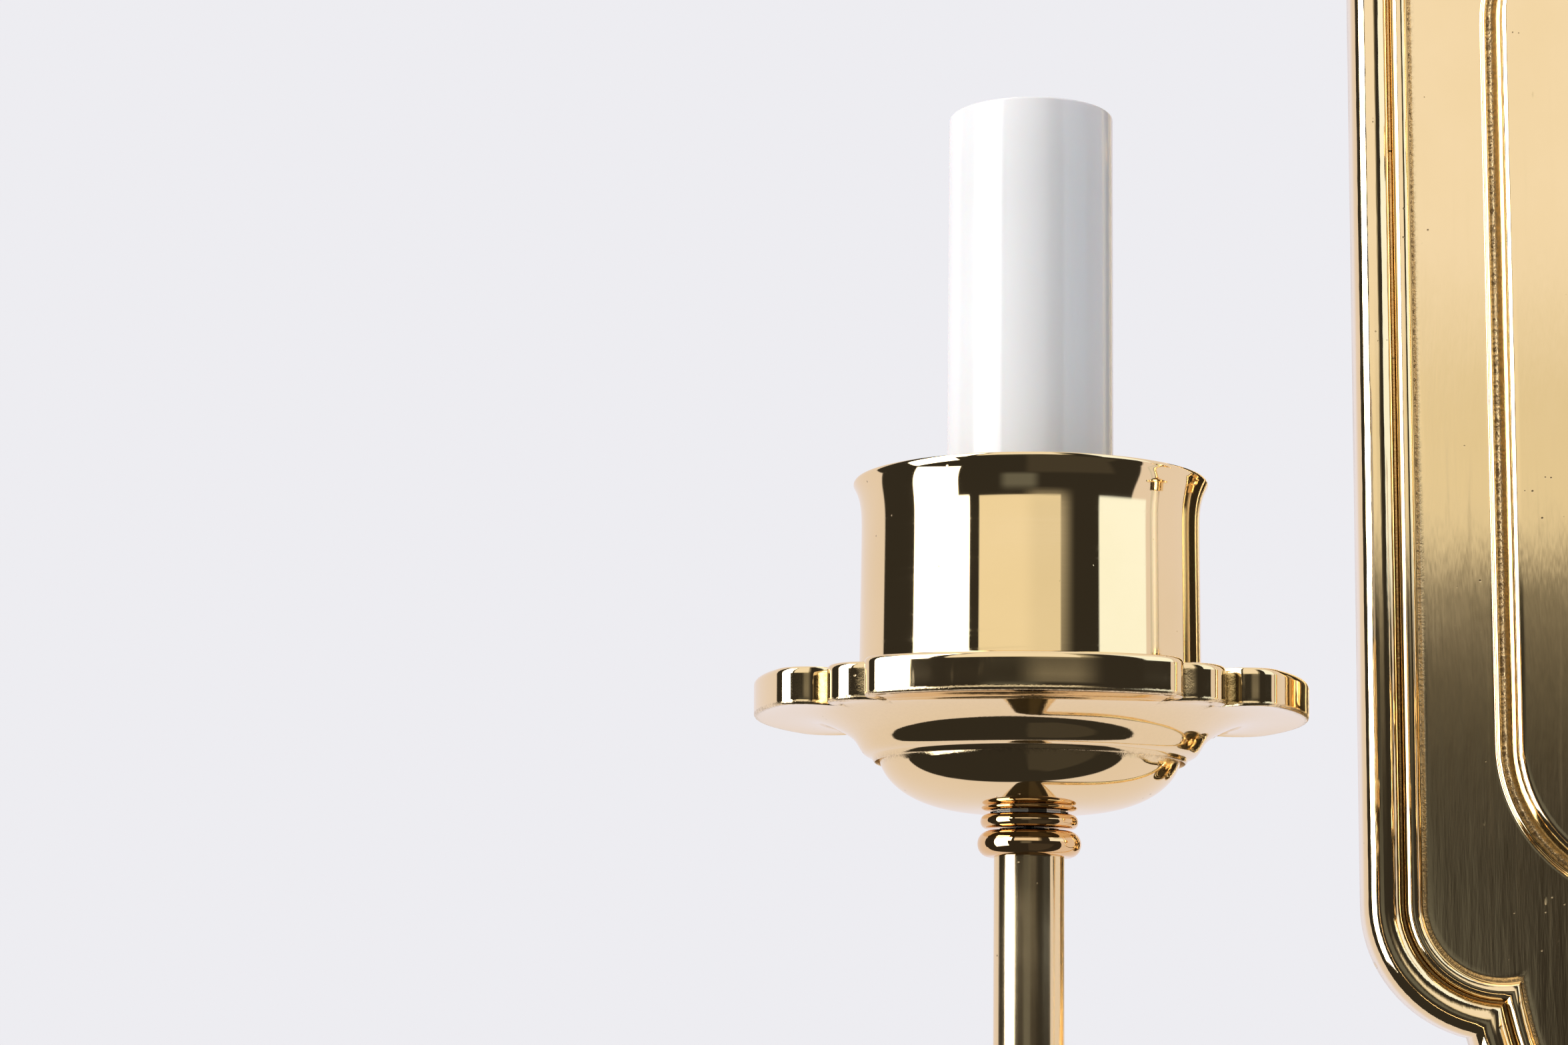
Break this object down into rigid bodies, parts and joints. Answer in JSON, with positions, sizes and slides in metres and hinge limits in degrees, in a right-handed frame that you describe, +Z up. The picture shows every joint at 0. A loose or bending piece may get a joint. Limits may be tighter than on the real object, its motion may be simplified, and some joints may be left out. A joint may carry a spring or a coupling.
{
  "type": "wall sconce candle holder",
  "caption": "Polished brass wall sconce: a moulded backplate with curved arms from a low hub, each holding a lobed drip pan, a flared cup and a white candle sleeve over a small lamp socket.",
  "frame": {"origin": "middle of the mounting strap's back face, on the wall", "axes": "+Z up, +Y into the wall, -Y out to the front, +X to the right for someone facing the sconce"},
  "size_m": [0.299, 0.1475, 0.3038],
  "materials": {
    "brass": "polished and lacquered cast and spun brass",
    "steel": "zinc-plated steel",
    "green_screw": "green dyed ground screw",
    "splice_cap": "moulded wire connector",
    "phenolic": "moulded phenolic",
    "sleeve": "smooth glossy white plastic tube",
    "black_lead": "wire insulation",
    "white_lead": "wire insulation"
  },
  "bodies": {
    "fixture": {"backplate": "brass", "ground_screw": "green_screw", "hub": "brass", "hub_finial": "brass", "hub_nut": "brass", "hub_pipe": "steel", "hub_washer": "steel", "left_arm_bead": "brass", "left_arm_ring": "brass", "left_arm_tube": "brass", "left_centre_contact": "brass", "left_cup": "brass", "left_cup_nut": "brass", "left_dome": "brass", "left_drip_pan": "brass", "left_hub_collar": "brass", "left_live_lead": "black_lead", "left_neutral_lead": "white_lead", "left_pipe": "steel", "left_screw_shell": "brass", "left_socket_body": "phenolic", "left_socket_bracket": "steel", "left_socket_screw": "steel", "live_splice": "splice_cap", "lower_stud": "steel", "lower_stud_nut": "steel", "mounting_strap": "steel", "neutral_splice": "splice_cap", "right_arm_bead": "brass", "right_arm_ring": "brass", "right_arm_tube": "brass", "right_centre_contact": "brass", "right_cup": "brass", "right_cup_nut": "brass", "right_dome": "brass", "right_drip_pan": "brass", "right_hub_collar": "brass", "right_live_lead": "black_lead", "right_neutral_lead": "white_lead", "right_pipe": "steel", "right_screw_shell": "brass", "right_socket_body": "phenolic", "right_socket_bracket": "steel", "right_socket_screw": "steel", "upper_stud": "steel", "upper_stud_nut": "steel"},
    "left_sleeve_body": {"left_sleeve": "sleeve"},
    "right_sleeve_body": {"right_sleeve": "sleeve"},
    "upper_cap_nut_body": {"upper_cap_nut": "brass"},
    "lower_cap_nut_body": {"lower_cap_nut": "brass"}
  },
  "joints": [
    {"name": "left_sleeve_lift", "type": "slide", "parent": "fixture", "child": "left_sleeve_body", "axis": [0, 0, 1], "range_m": [0, 0.078]},
    {"name": "right_sleeve_lift", "type": "slide", "parent": "fixture", "child": "right_sleeve_body", "axis": [0, 0, 1], "range_m": [0, 0.078]},
    {"name": "upper_cap_nut_turn", "type": "hinge", "parent": "fixture", "child": "upper_cap_nut_body", "pos_m": [0, -0.0135, 0.053], "axis": [0, -1, 0], "continuous": true},
    {"name": "lower_cap_nut_turn", "type": "hinge", "parent": "fixture", "child": "lower_cap_nut_body", "pos_m": [0, -0.0135, -0.053], "axis": [0, -1, 0], "continuous": true}
  ]
}
